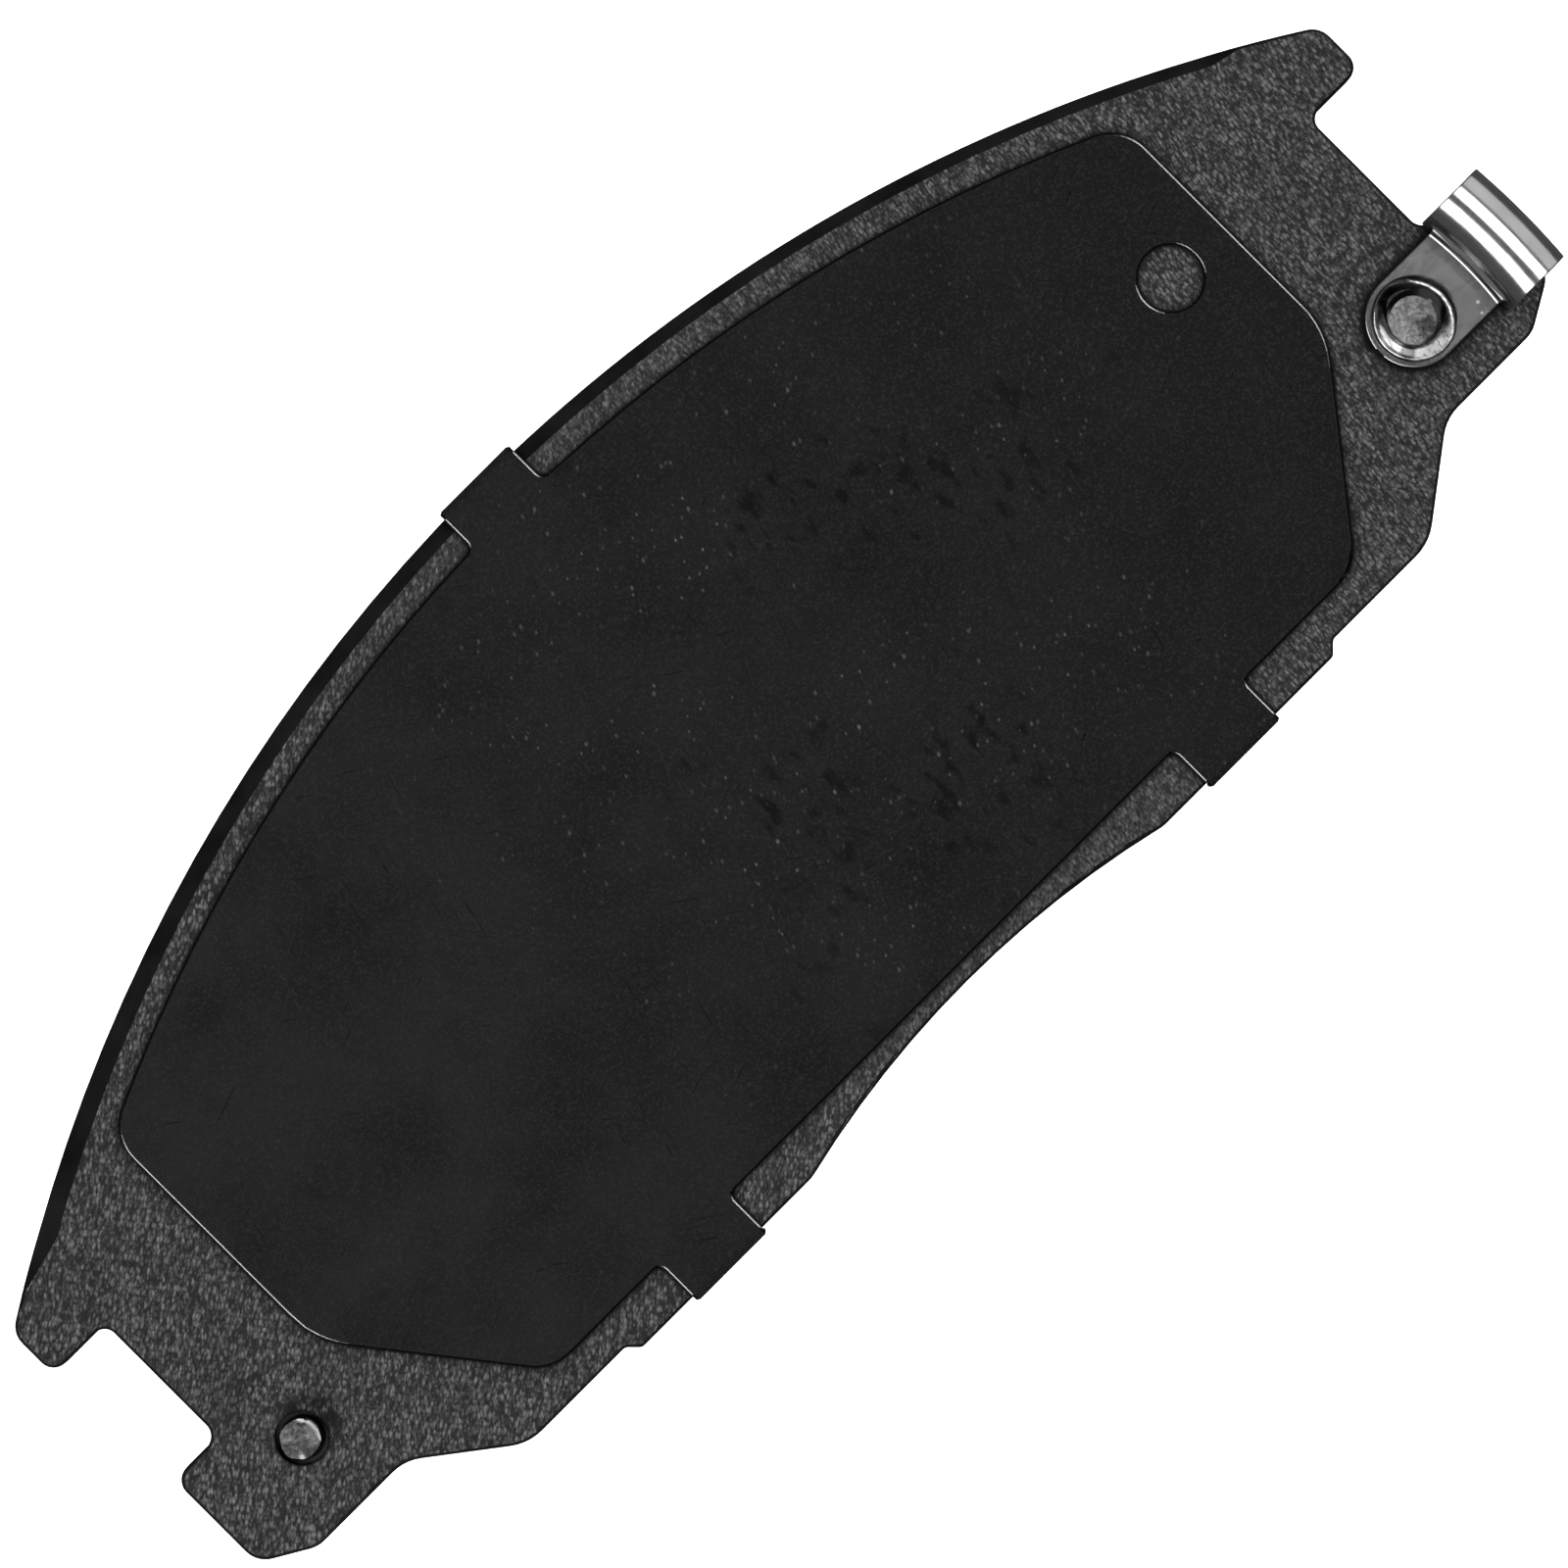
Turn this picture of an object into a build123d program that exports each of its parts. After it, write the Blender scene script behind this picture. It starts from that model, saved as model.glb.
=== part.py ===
from build123d import *
import math
import os

# Front disc brake pad with its shim and its wear indicator, in millimetres.
# It lies on its friction face: +X runs along the pad, +Y points away from the wheel's axle,
# and +Z points from the disc towards the caliper's piston. Z = 0 is the friction face.

# Layers, from the disc to the piston.
FRICTION = 8.6
UNDERLAYER = 2.0
ADHESIVE = 0.1
PLATE = 6.0
RUBBER = 0.075
SHIM_STEEL = 0.35
RUBBER_TRIM = 0.22

UNDERLAYER_Z = FRICTION
ADHESIVE_Z = UNDERLAYER_Z + UNDERLAYER
PLATE_Z = ADHESIVE_Z + ADHESIVE
BACK_Z = PLATE_Z + PLATE

# Backing plate. Both long edges are arcs about points near the wheel's axle.
TOP_RADIUS = 140.4
TOP_APEX = 29.84
TOP_CENTRE = TOP_APEX - TOP_RADIUS
BOTTOM_RADIUS = 87.2
BOTTOM_APEX = -27.38
BOTTOM_CENTRE = BOTTOM_APEX - BOTTOM_RADIUS
EAR_TIP = 75.9
LOWER_EAR_TIP = 75.0
NOTCH_WALL = 69.95
NOTCH_TOP = 2.8
NOTCH_BOTTOM = -10.28
EAR_FOOT = -22.56
EAR_SLOPE = -19.92
EAR_SLOPE_FOOT_X = 70.5
EAR_FOOT_END_X = 60.5
SHOULDER_X = 52.3
SHOULDER_FOOT = -28.80
STEP_X = 40.1
LAND = -29.80
PLATE_EDGE_ROUND = 0.4

# Bevel pressed along the top arc of the plate's back face. Its ends run out at a slant.
# The tool that presses it sits a little towards +X, so the bevel is wider on the -X side.
BEVEL_WIDTH = 1.3
BEVEL_DEPTH = 1.15
BEVEL_SHIFT = 0.65
BEVEL_ENDS = (-29.5, 28.6)
BEVEL_RUN_OUT = 15.0

# Holes through the plate: one for a rivet in each ear, four that anchor the underlayer.
RIVET_SPOT = (64.35, -14.85)
BLANK_SPOT = (-65.15, -15.3)
RIVET_HOLE_RADIUS = 2.4
BLANK_HOLE_RADIUS = 2.2
ANCHOR_SPOTS = [(-43, -4), (-17, 3), (17, 3), (43, -4)]
ANCHOR_RADIUS = 5.0
PEG_RECESS = 0.4

# Friction block.
BLOCK_INSET = 2.2
BLOCK_BOTTOM_INSET = 1.3
BLOCK_TOP_X = 57.8
BLOCK_FOOT_X = 52.0
BLOCK_FOOT = -28.3
SLOT_WIDTH = 3.0
SLOT_DEPTH = 7.0
CHAMFER_LENGTH = 11.0
CHAMFER_HEIGHT = 4.0
CHAMFER_END_X = 57.0

# Shim: a flat steel sheet with three tabs that fold over the plate's long edges.
# The rubber on both its faces stops RUBBER_TRIM short of the sheared steel edge.
SHIM_TOP_RADIUS = 137.0
SHIM_HALF_LENGTH = 58.7
SHIM_SIDE_FOOT = -10.4
SHIM_FOOT_X = 46.5
SHIM_BOTTOM = -25.9
SHIM_HOLE = (52.6, 1.6)
SHIM_HOLE_RADIUS = 2.8
TAB_WIDTH = 8.05
TAB_CLEARANCE = 0.07
TAB_BEND = 0.35
TAB_DROP = 4.4
TAB_ROOT = 0.8
TOP_TAB_X = 0.45
BOTTOM_TABS_X = (-30.2, 29.4)

# Wear indicator: a spring steel strip that rises in a hump over the ear's edge.
STRIP = 0.9
STRIP_TAB_WIDTH = 8.1
STRIP_WIDTH = 10.2
STRIP_TIP_WIDTH = 7.5
HUMP_X = 73.72
HUMP_RADIUS = 3.1
STRIP_BEND = 0.4
STRIP_TIP_Z = PLATE_Z - 2.3
STRIP_TIP_ROUND = 2.0

# Rivet: a low head on the disc side, and a cup with a rolled rim on the piston side.
HEAD_RADIUS = 4.0
HEAD_HEIGHT = 1.2
HEAD_ROUND = 0.8
CUP_RADIUS = 1.8
CUP_DEPTH = 2.9
CUP_MOUTH_RADIUS = 2.5
RIM_RADIUS = 3.65
RIM_HEIGHT = 1.1
RIM_LIP = 0.3
RIM_SWELL_HEIGHT = 0.45
MOUTH_DEPTH = 0.35
MOUTH_NARROWING = 0.1

# Blank rivet: fills the hole in the other ear, with a smaller nose in a ring-shaped gap.
NOSE_RADIUS = 1.75
NOSE_GAP_DEPTH = 2.4
NOSE_PROUD = 0.15
NOSE_CHAMFER = 0.15


def circle_y(centre_y, radius, x):
    """Y of the upper side of a circle whose centre is on the Y axis."""
    return centre_y + math.sqrt(radius**2 - x**2)


def outline(half, top_apex, bottom_apex=None):
    """A face that is symmetric about the Y axis.

    half lists the right side's corners (x, y, radius) from the top arc's end downwards.
    The top edge is an arc through top_apex; so is the bottom edge if it has an apex.
    """
    right = [(x, y) for x, y, _ in half]
    left = [(-x, y) for x, y in reversed(right)]
    edges = [ThreePointArc(left[-1], (0, top_apex), right[0])]
    edges += Polyline(*right).edges()
    if bottom_apex is None:
        edges.append(Line(right[-1], left[0]))
    else:
        edges.append(ThreePointArc(right[-1], (0, bottom_apex), left[0]))
    edges += Polyline(*left).edges()
    face = make_face(edges).face()
    for x, y, radius in half:
        if radius:
            corners = [v for v in face.vertices() if math.dist((abs(v.X), v.Y), (x, y)) < 0.01]
            face = face.fillet_2d(radius, corners)
    return face


def slab(face, bottom, thickness):
    return Pos(0, 0, bottom) * extrude(face, thickness, dir=(0, 0, 1))


def plate_outline():
    step_rise = SHOULDER_FOOT - LAND
    arc_end = math.sqrt(BOTTOM_RADIUS**2 - (LAND - BOTTOM_CENTRE) ** 2)
    half = [
        (EAR_TIP, circle_y(TOP_CENTRE, TOP_RADIUS, EAR_TIP), 2.0),
        (EAR_TIP, NOTCH_TOP, 1.4),
        (NOTCH_WALL, NOTCH_TOP, 1.1),
        (NOTCH_WALL, NOTCH_BOTTOM, 1.3),
        (LOWER_EAR_TIP, NOTCH_BOTTOM, 1.45),
        (LOWER_EAR_TIP, EAR_SLOPE, 2.3),
        (EAR_SLOPE_FOOT_X, EAR_FOOT, 2.7),
        (EAR_FOOT_END_X, EAR_FOOT, 4.1),
        (SHOULDER_X, SHOULDER_FOOT, 4.6),
        (STEP_X + step_rise, SHOULDER_FOOT, 0.6),
        (STEP_X, LAND, 0.6),
        (arc_end, LAND, 3.0),
    ]
    return outline(half, TOP_APEX, BOTTOM_APEX)


def top_bevel():
    """Cutters for the bevel: a wedge turned about the top arc's centre, then led outwards at each end."""
    slope = BEVEL_DEPTH / BEVEL_WIDTH
    beyond = 1.0
    wedge = Plane.XZ * make_face(
        Polyline(
            (TOP_RADIUS - BEVEL_WIDTH, BACK_Z),
            (TOP_RADIUS + beyond, BACK_Z - slope * (BEVEL_WIDTH + beyond)),
            (TOP_RADIUS + beyond, BACK_Z + beyond),
            (TOP_RADIUS - BEVEL_WIDTH, BACK_Z + beyond),
            close=True,
        )
    )
    first, last = BEVEL_ENDS
    swept = Rot(0, 0, 90 - last) * revolve(wedge, Axis.Z, last - first)
    lean = math.radians(BEVEL_RUN_OUT)
    run = (BEVEL_WIDTH + beyond) / math.sin(lean)
    first_end = extrude(wedge, run, dir=(math.sin(lean), math.cos(lean), 0))
    last_end = extrude(wedge, run, dir=(math.sin(lean), -math.cos(lean), 0))
    cutters = [swept, Rot(0, 0, 90 - first) * first_end, Rot(0, 0, 90 - last) * last_end]
    return [Pos(BEVEL_SHIFT, TOP_CENTRE, 0) * cutter for cutter in cutters]


def backing_plate():
    plate = slab(plate_outline(), PLATE_Z, PLATE)
    faces = plate.faces().filter_by(Axis.Z)
    plate = fillet(faces.edges(), PLATE_EDGE_ROUND)
    plate -= top_bevel()
    middle = PLATE_Z + PLATE / 2
    plate -= Pos(*RIVET_SPOT, middle) * Cylinder(RIVET_HOLE_RADIUS, PLATE)
    plate -= Pos(*BLANK_SPOT, middle) * Cylinder(BLANK_HOLE_RADIUS, PLATE)
    plate -= [Pos(*spot, middle) * Cylinder(ANCHOR_RADIUS, PLATE) for spot in ANCHOR_SPOTS]
    return plate


def block_outline():
    """Outline shared by the friction block, the underlayer and the adhesive."""
    top_radius = TOP_RADIUS - BLOCK_INSET
    bottom_apex = BOTTOM_APEX + BLOCK_BOTTOM_INSET
    bottom_radius = BOTTOM_RADIUS + BLOCK_BOTTOM_INSET
    arc_end = math.sqrt(bottom_radius**2 - (BLOCK_FOOT - BOTTOM_CENTRE) ** 2)
    half = [
        (BLOCK_TOP_X, circle_y(TOP_CENTRE, top_radius, BLOCK_TOP_X), 4.0),
        (BLOCK_FOOT_X, BLOCK_FOOT, 6.0),
        (arc_end, BLOCK_FOOT, 3.0),
    ]
    return outline(half, TOP_APEX - BLOCK_INSET, bottom_apex)


def friction_block():
    block = slab(block_outline(), 0, FRICTION)
    tall = 2 * TOP_RADIUS
    block -= Pos(0, 0, SLOT_DEPTH / 2) * Box(SLOT_WIDTH, tall, SLOT_DEPTH)
    ramp = Plane.XZ * make_face(
        Polyline(
            (CHAMFER_END_X - CHAMFER_LENGTH, 0),
            (CHAMFER_END_X, CHAMFER_HEIGHT),
            (CHAMFER_END_X + CHAMFER_LENGTH, 2 * CHAMFER_HEIGHT),
            (CHAMFER_END_X + CHAMFER_LENGTH, 0),
            close=True,
        )
    )
    ramp = extrude(ramp, tall / 2, both=True)
    return block - ramp - mirror(ramp, Plane.YZ)


def underlayer():
    layer = slab(block_outline(), UNDERLAYER_Z, UNDERLAYER)
    peg_height = ADHESIVE + PLATE - PEG_RECESS
    for x, y in ANCHOR_SPOTS:
        layer += Pos(x, y, ADHESIVE_Z + peg_height / 2) * Cylinder(ANCHOR_RADIUS, peg_height)
    return layer


def bonding_adhesive():
    film = slab(block_outline(), ADHESIVE_Z, ADHESIVE)
    middle = ADHESIVE_Z + ADHESIVE / 2
    return film - [Pos(*spot, middle) * Cylinder(ANCHOR_RADIUS, ADHESIVE) for spot in ANCHOR_SPOTS]


def shim_outline():
    half = [
        (SHIM_HALF_LENGTH, circle_y(TOP_CENTRE, SHIM_TOP_RADIUS, SHIM_HALF_LENGTH), 4.0),
        (SHIM_HALF_LENGTH, SHIM_SIDE_FOOT, 8.0),
        (SHIM_FOOT_X, SHIM_BOTTOM, 4.0),
    ]
    return outline(half, TOP_CENTRE + SHIM_TOP_RADIUS)


def shim_tab(edge, sheet_edge, bottom, thickness, trim):
    """One layer of a tab that folds over a plate edge at Y = edge, centred on X = 0.

    It starts inside the sheet, whose own edge is at sheet_edge, and has rounded roots there.
    """
    overlap = 3.0
    half_width = TAB_WIDTH / 2 - trim
    root_radius = TAB_ROOT + trim
    inner = edge + TAB_CLEARANCE + bottom
    level = BACK_Z + bottom
    path = FilletPolyline(
        (sheet_edge - overlap, level),
        (inner, level),
        (inner, BACK_Z - TAB_DROP + trim),
        radius=TAB_BEND + bottom,
    )
    profile = make_face(path.wire().offset_2d(thickness, side=Side.LEFT).edges())
    tab = extrude(Plane.YZ * profile, half_width, both=True)
    root_size = (2 * (half_width + root_radius), root_radius + overlap)
    root = Pos(0, sheet_edge - trim + root_radius) * Rectangle(*root_size, align=(Align.CENTER, Align.MAX))
    for side in (-1, 1):
        root -= Pos(side * (half_width + root_radius), sheet_edge - trim + root_radius) * Circle(root_radius)
    return tab + slab(root.face(), level, thickness)


def shim_layer(bottom, thickness, trim=0.0):
    """A layer of the shim. Its underside is this far from the plate's back face."""
    sheet = shim_outline()
    if trim:
        sheet = offset(sheet, -trim).face()
    layer = slab(sheet, BACK_Z + bottom, thickness)
    top_edge = circle_y(TOP_CENTRE, SHIM_TOP_RADIUS, TAB_WIDTH / 2 + TAB_ROOT)
    layer += Pos(TOP_TAB_X, 0, 0) * shim_tab(TOP_APEX, top_edge, bottom, thickness, trim)
    low_tab = Rot(0, 0, 180) * shim_tab(-LAND, -SHIM_BOTTOM, bottom, thickness, trim)
    layer += [Pos(x, 0, 0) * low_tab for x in BOTTOM_TABS_X]
    middle = BACK_Z + bottom + thickness / 2
    return layer - Pos(*SHIM_HOLE, middle) * Cylinder(SHIM_HOLE_RADIUS + trim, thickness)


def wear_indicator():
    """Flat tab under the rivet, hump over the ear's edge, and a leg that points at the disc."""
    inner_radius = HUMP_RADIUS - STRIP
    rise_x = HUMP_X - inner_radius
    leg_x = HUMP_X + inner_radius
    bend = STRIP_BEND + STRIP
    hump_z = BACK_Z + bend
    rivet_x, rivet_y = RIVET_SPOT
    tab_end = rivet_x - STRIP_TAB_WIDTH / 2
    turn = bend * math.sin(math.radians(45))
    path = [
        Line((tab_end, BACK_Z), (rise_x - bend, BACK_Z)),
        ThreePointArc((rise_x - bend, BACK_Z), (rise_x - bend + turn, hump_z - turn), (rise_x, hump_z)),
        ThreePointArc((rise_x, hump_z), (HUMP_X, hump_z + inner_radius), (leg_x, hump_z)),
        Line((leg_x, hump_z), (leg_x, STRIP_TIP_Z)),
    ]
    profile = make_face(Wire([line.edge() for line in path]).offset_2d(STRIP, side=Side.LEFT).edges())
    strip = extrude(Plane.XZ * profile, STRIP_WIDTH / 2, both=True)

    # Seen from above: a narrow tab with a round end, then the full width.
    hump_start = HUMP_X - HUMP_RADIUS
    plan = Circle(STRIP_TAB_WIDTH / 2)
    tab_length = hump_start - rivet_x
    plan += Pos(tab_length / 2, 0) * Rectangle(tab_length, STRIP_TAB_WIDTH)
    plan += Pos(tab_length + HUMP_RADIUS, 0) * Rectangle(2 * HUMP_RADIUS, STRIP_WIDTH)
    plan -= Circle(RIVET_HOLE_RADIUS)
    strip &= Pos(rivet_x, 0, 0) * extrude(plan, BACK_Z + 2 * HUMP_RADIUS + STRIP)

    # Seen from the end: the leg narrows towards a tip with round corners.
    shoulder_z = PLATE_Z + PLATE / 2
    top_z = BACK_Z + 3 * HUMP_RADIUS
    tip = make_face(
        Polyline(
            (-STRIP_TIP_WIDTH / 2, STRIP_TIP_Z),
            (STRIP_TIP_WIDTH / 2, STRIP_TIP_Z),
            (STRIP_WIDTH / 2, shoulder_z),
            (STRIP_WIDTH / 2, top_z),
            (-STRIP_WIDTH / 2, top_z),
            (-STRIP_WIDTH / 2, shoulder_z),
            close=True,
        )
    ).face()
    below_top = [v for v in tip.vertices() if v.Y < (shoulder_z + top_z) / 2]
    tip = tip.fillet_2d(STRIP_TIP_ROUND, below_top)
    strip &= extrude(Plane.YZ * tip, 2 * HUMP_X)
    return Pos(0, rivet_y, 0) * strip


def rivet_head():
    """Half section of the low head on the disc side of the ear."""
    head = Pos(HEAD_RADIUS / 2, PLATE_Z - HEAD_HEIGHT / 2) * Rectangle(HEAD_RADIUS, HEAD_HEIGHT)
    corner = head.vertices().sort_by(Axis.X)[-2:].sort_by(Axis.Y)[0]
    return fillet(corner, HEAD_ROUND)


def wear_indicator_rivet():
    """Semi-tubular rivet: its tube end is flared and rolled over the strip."""
    seat = BACK_Z + STRIP
    crest = seat + RIM_HEIGHT
    crest_radius = (CUP_MOUTH_RADIUS + RIM_RADIUS) / 2
    throat = seat - MOUTH_NARROWING
    floor = crest - CUP_DEPTH
    section = make_face(
        [
            Line((0, PLATE_Z), (RIVET_HOLE_RADIUS, PLATE_Z)),
            Line((RIVET_HOLE_RADIUS, PLATE_Z), (RIVET_HOLE_RADIUS, seat)),
            Line((RIVET_HOLE_RADIUS, seat), (RIM_RADIUS - RIM_LIP, seat)),
            ThreePointArc(
                (RIM_RADIUS - RIM_LIP, seat),
                (RIM_RADIUS, seat + RIM_SWELL_HEIGHT),
                (crest_radius, crest),
            ),
            ThreePointArc(
                (crest_radius, crest),
                (CUP_MOUTH_RADIUS - MOUTH_NARROWING, crest - MOUTH_DEPTH),
                (CUP_RADIUS, throat),
            ),
            Line((CUP_RADIUS, throat), (CUP_RADIUS, floor)),
            Line((CUP_RADIUS, floor), (0, floor)),
            Line((0, floor), (0, PLATE_Z)),
        ]
    )
    section += rivet_head()
    return Pos(*RIVET_SPOT, 0) * revolve(Plane.XZ * section, Axis.Z)


def blank_rivet():
    """Plain rivet in the unused hole: a nose stands in a ring-shaped gap at the back face."""
    neck = BACK_Z - NOSE_GAP_DEPTH
    section = make_face(
        Polyline(
            (0, PLATE_Z),
            (BLANK_HOLE_RADIUS, PLATE_Z),
            (BLANK_HOLE_RADIUS, neck),
            (NOSE_RADIUS, neck),
            (NOSE_RADIUS, BACK_Z + NOSE_PROUD - NOSE_CHAMFER),
            (NOSE_RADIUS - NOSE_CHAMFER, BACK_Z + NOSE_PROUD),
            (0, BACK_Z + NOSE_PROUD),
            close=True,
        )
    )
    section += rivet_head()
    return Pos(*BLANK_SPOT, 0) * revolve(Plane.XZ * section, Axis.Z)


PIECES = {
    "friction_block": friction_block(),
    "underlayer": underlayer(),
    "bonding_adhesive": bonding_adhesive(),
    "backing_plate": backing_plate(),
    "shim_inner_rubber": shim_layer(0, RUBBER, RUBBER_TRIM),
    "shim_steel_core": shim_layer(RUBBER, SHIM_STEEL),
    "shim_outer_rubber": shim_layer(RUBBER + SHIM_STEEL, RUBBER, RUBBER_TRIM),
    "wear_indicator": wear_indicator(),
    "wear_indicator_rivet": wear_indicator_rivet(),
    "blank_rivet": blank_rivet(),
}

os.makedirs("parts", exist_ok=True)
for node, piece in PIECES.items():
    export_step(piece, f"parts/{node}.step")
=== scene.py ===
import math

import bmesh
import bpy
from mathutils import Matrix, Vector, noise


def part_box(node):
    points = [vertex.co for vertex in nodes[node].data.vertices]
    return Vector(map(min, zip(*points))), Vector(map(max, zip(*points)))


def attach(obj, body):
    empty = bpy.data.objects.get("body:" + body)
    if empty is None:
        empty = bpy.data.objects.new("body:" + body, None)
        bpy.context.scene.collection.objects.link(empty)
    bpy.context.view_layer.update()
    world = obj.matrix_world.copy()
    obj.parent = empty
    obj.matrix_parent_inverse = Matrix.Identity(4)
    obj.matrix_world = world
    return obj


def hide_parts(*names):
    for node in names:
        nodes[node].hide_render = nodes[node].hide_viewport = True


# The looks of a disc brake pad, in metres, in the frame of the CAD model: +X along the pad towards
# the wear indicator, +Y towards the long outer arc, +Z from the friction face to the shim.
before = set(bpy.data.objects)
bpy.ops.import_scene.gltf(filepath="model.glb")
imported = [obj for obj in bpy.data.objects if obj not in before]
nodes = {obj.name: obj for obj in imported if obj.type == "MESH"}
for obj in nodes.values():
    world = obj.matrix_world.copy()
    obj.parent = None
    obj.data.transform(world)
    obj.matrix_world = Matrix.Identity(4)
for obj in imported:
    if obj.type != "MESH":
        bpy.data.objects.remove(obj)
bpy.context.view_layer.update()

MM = 0.001

# Places and levels, read from the CAD nodes.
plate_low, plate_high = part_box("backing_plate")
strip_low, strip_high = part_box("wear_indicator")
rivet_low, rivet_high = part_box("wear_indicator_rivet")
blank_low, blank_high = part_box("blank_rivet")
block_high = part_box("friction_block")[1]
rivet_axis = (rivet_low + rivet_high) / 2
blank_axis = (blank_low + blank_high) / 2
PLATE_FRONT = plate_low.z
PLATE_BACK = plate_high.z

# Wear indicator strip.
STRIP = 0.9 * MM
STRIP_TAB_HALF = 4.05 * MM
STRIP_HALF = (strip_high.y - strip_low.y) / 2
STRIP_TIP_HALF = 3.75 * MM
STRIP_TIP_ROUND = 2.0 * MM
STRIP_BEND = 0.4 * MM
STRIP_EDGE = 0.13 * MM
END_ROWS = 14
END_STEP = 6.4
HUMP_CROWN = 0.2 * MM
BEND_CROWN = 0.42 * MM
HUMP_RADIUS = 3.1 * MM
HUMP_X = strip_high.x - HUMP_RADIUS
HOLE_RADIUS = 2.4 * MM

# Rivets.
HEAD_RADIUS = 4.0 * MM
HEAD_HEIGHT = 1.2 * MM
HEAD_ROUND = 0.8 * MM
BLANK_HOLE_RADIUS = 2.2 * MM
SHANK_GAP = 0.01 * MM
TURN_SEGMENTS = 96
CUP_DEPTH = 2.5 * MM
NOSE_GAP_DEPTH = 2.4 * MM

# Shim's sheared edge.
SHIM_EDGE = 0.16 * MM

# Friction block.
BLOCK_VOXEL = 0.45 * MM
PORE_DEPTH = 0.35 * MM
CRUMB_DEPTH = 0.12 * MM

# Camera: straight above the pad, rolled so that the pad runs from lower left to upper right.
VIEW_CENTRE = (0.82 * MM, -5.3 * MM)
VIEW_WIDTH = 128.7 * MM
VIEW_DISTANCE = 1.0
VIEW_ROLL = math.radians(-45)

SOFTBOX_LENGTH = 1.3
STAGE_RADIUS = 5.0
STAGE_GLOW = 1.6
FLOOR_GAP = 0.05 * MM


class Finish:
    """A procedural material around one Principled shader, with short calls for its usual nodes."""

    def __init__(self, name, **constants):
        self.material = bpy.data.materials.new(name)
        self.material.use_nodes = True
        self.nodes = self.material.node_tree.nodes
        self.links = self.material.node_tree.links
        self.shader = self.nodes["Principled BSDF"]
        self.place = self.add("ShaderNodeTexCoord").outputs["Object"]
        for name, value in constants.items():
            self.shader.inputs[name.replace("_", " ")].default_value = value

    def add(self, kind, inputs=None, **settings):
        node = self.nodes.new(kind)
        for name, value in settings.items():
            setattr(node, name, value)
        for key, value in (inputs or {}).items():
            self.feed(node.inputs[key], value)
        return node

    def feed(self, socket, value):
        if isinstance(value, bpy.types.NodeSocket):
            self.links.new(value, socket)
        else:
            socket.default_value = value

    def spot(self, size, stretch=(1, 1, 1), turn=0.0, seed=0.0):
        """Coordinates in units of size, lengthened along axes that are turned about Z."""
        inputs = {
            "Vector": self.place,
            "Location": (seed, 0.7 * seed, 0.3 * seed),
            "Rotation": (0, 0, turn),
            "Scale": tuple(size * share for share in stretch),
        }
        return self.add("ShaderNodeMapping", inputs, vector_type="TEXTURE").outputs["Vector"]

    def noise(self, size, detail=2.0, stretch=(1, 1, 1), turn=0.0, seed=0.0):
        """Soft noise with features about size across."""
        place = self.spot(size, stretch, turn, seed)
        inputs = {"Vector": place, "Scale": 1.0, "Detail": detail}
        return self.add("ShaderNodeTexNoise", inputs).outputs[0]

    def cells(self, size, output="Distance", flat=False, stretch=(1, 1, 1), turn=0.0, seed=0.0):
        """Distance to, or colour of, the nearest of points scattered about size apart."""
        place = self.spot(size, stretch, turn, seed)
        dimensions = "2D" if flat else "3D"
        inputs = {"Vector": place, "Scale": 1.0}
        made = self.add("ShaderNodeTexVoronoi", inputs, voronoi_dimensions=dimensions)
        return made.outputs[output]

    def calc(self, operation, a, b=0.0):
        return self.add("ShaderNodeMath", {0: a, 1: b}, operation=operation).outputs[0]

    def fade(self, value, low, high, start=0.0, end=1.0):
        """start below low, end above high, and a ramp between them."""
        inputs = {"Value": value, "From Min": low, "From Max": high, "To Min": start, "To Max": end}
        return self.add("ShaderNodeMapRange", inputs).outputs[0]

    def under(self, value, low, high):
        """1 below low, 0 above high, and a ramp between them."""
        return self.fade(value, low, high, 1.0, 0.0)

    def times(self, a, b):
        return self.calc("MULTIPLY", a, b)

    def blend(self, share, a, b):
        """Number or grey or colour a where share is 0, and b where it is 1."""
        made = self.add("ShaderNodeMix", data_type="RGBA")
        self.feed(made.inputs["Factor"], share)
        for socket, value in zip((made.inputs[6], made.inputs[7]), (a, b)):
            self.feed(socket, value if isinstance(value, bpy.types.NodeSocket) else colour(value))
        return made.outputs[2]

    def axis(self, name):
        return self.add("ShaderNodeSeparateXYZ", {0: self.place}).outputs[name]

    def facing(self, name):
        """A component of the surface's own normal."""
        normal = self.add("ShaderNodeNewGeometry").outputs["True Normal"]
        return self.add("ShaderNodeSeparateXYZ", {0: normal}).outputs[name]

    def away_from(self, x, y):
        """Distance from an upright line through (x, y)."""
        flat = self.add("ShaderNodeCombineXYZ", {"X": self.axis("X"), "Y": self.axis("Y")}).outputs[0]
        inputs = {0: flat, 1: (x, y, 0)}
        return self.add("ShaderNodeVectorMath", inputs, operation="DISTANCE").outputs["Value"]

    def near(self, x, y, inner, outer):
        """1 within inner of an upright line through (x, y), and 0 beyond outer."""
        return self.under(self.away_from(x, y), inner, outer)

    def crevice_shade(self, reach):
        """1 close beside a taller neighbour, where painted shade goes, and 0 in the open."""
        inputs = {"Distance": reach}
        open_share = self.add("ShaderNodeAmbientOcclusion", inputs, samples=6).outputs["AO"]
        return self.under(open_share, 0.68, 0.97)

    def bump(self, height, depth, under=None, strength=1.0):
        inputs = {"Height": height, "Distance": depth, "Strength": strength}
        if under is not None:
            inputs["Normal"] = under
        return self.add("ShaderNodeBump", inputs).outputs["Normal"]

    def made(self, base, roughness, normal):
        self.feed(self.shader.inputs["Base Color"], base)
        self.feed(self.shader.inputs["Roughness"], roughness)
        self.feed(self.shader.inputs["Normal"], normal)
        return self.material


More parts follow.
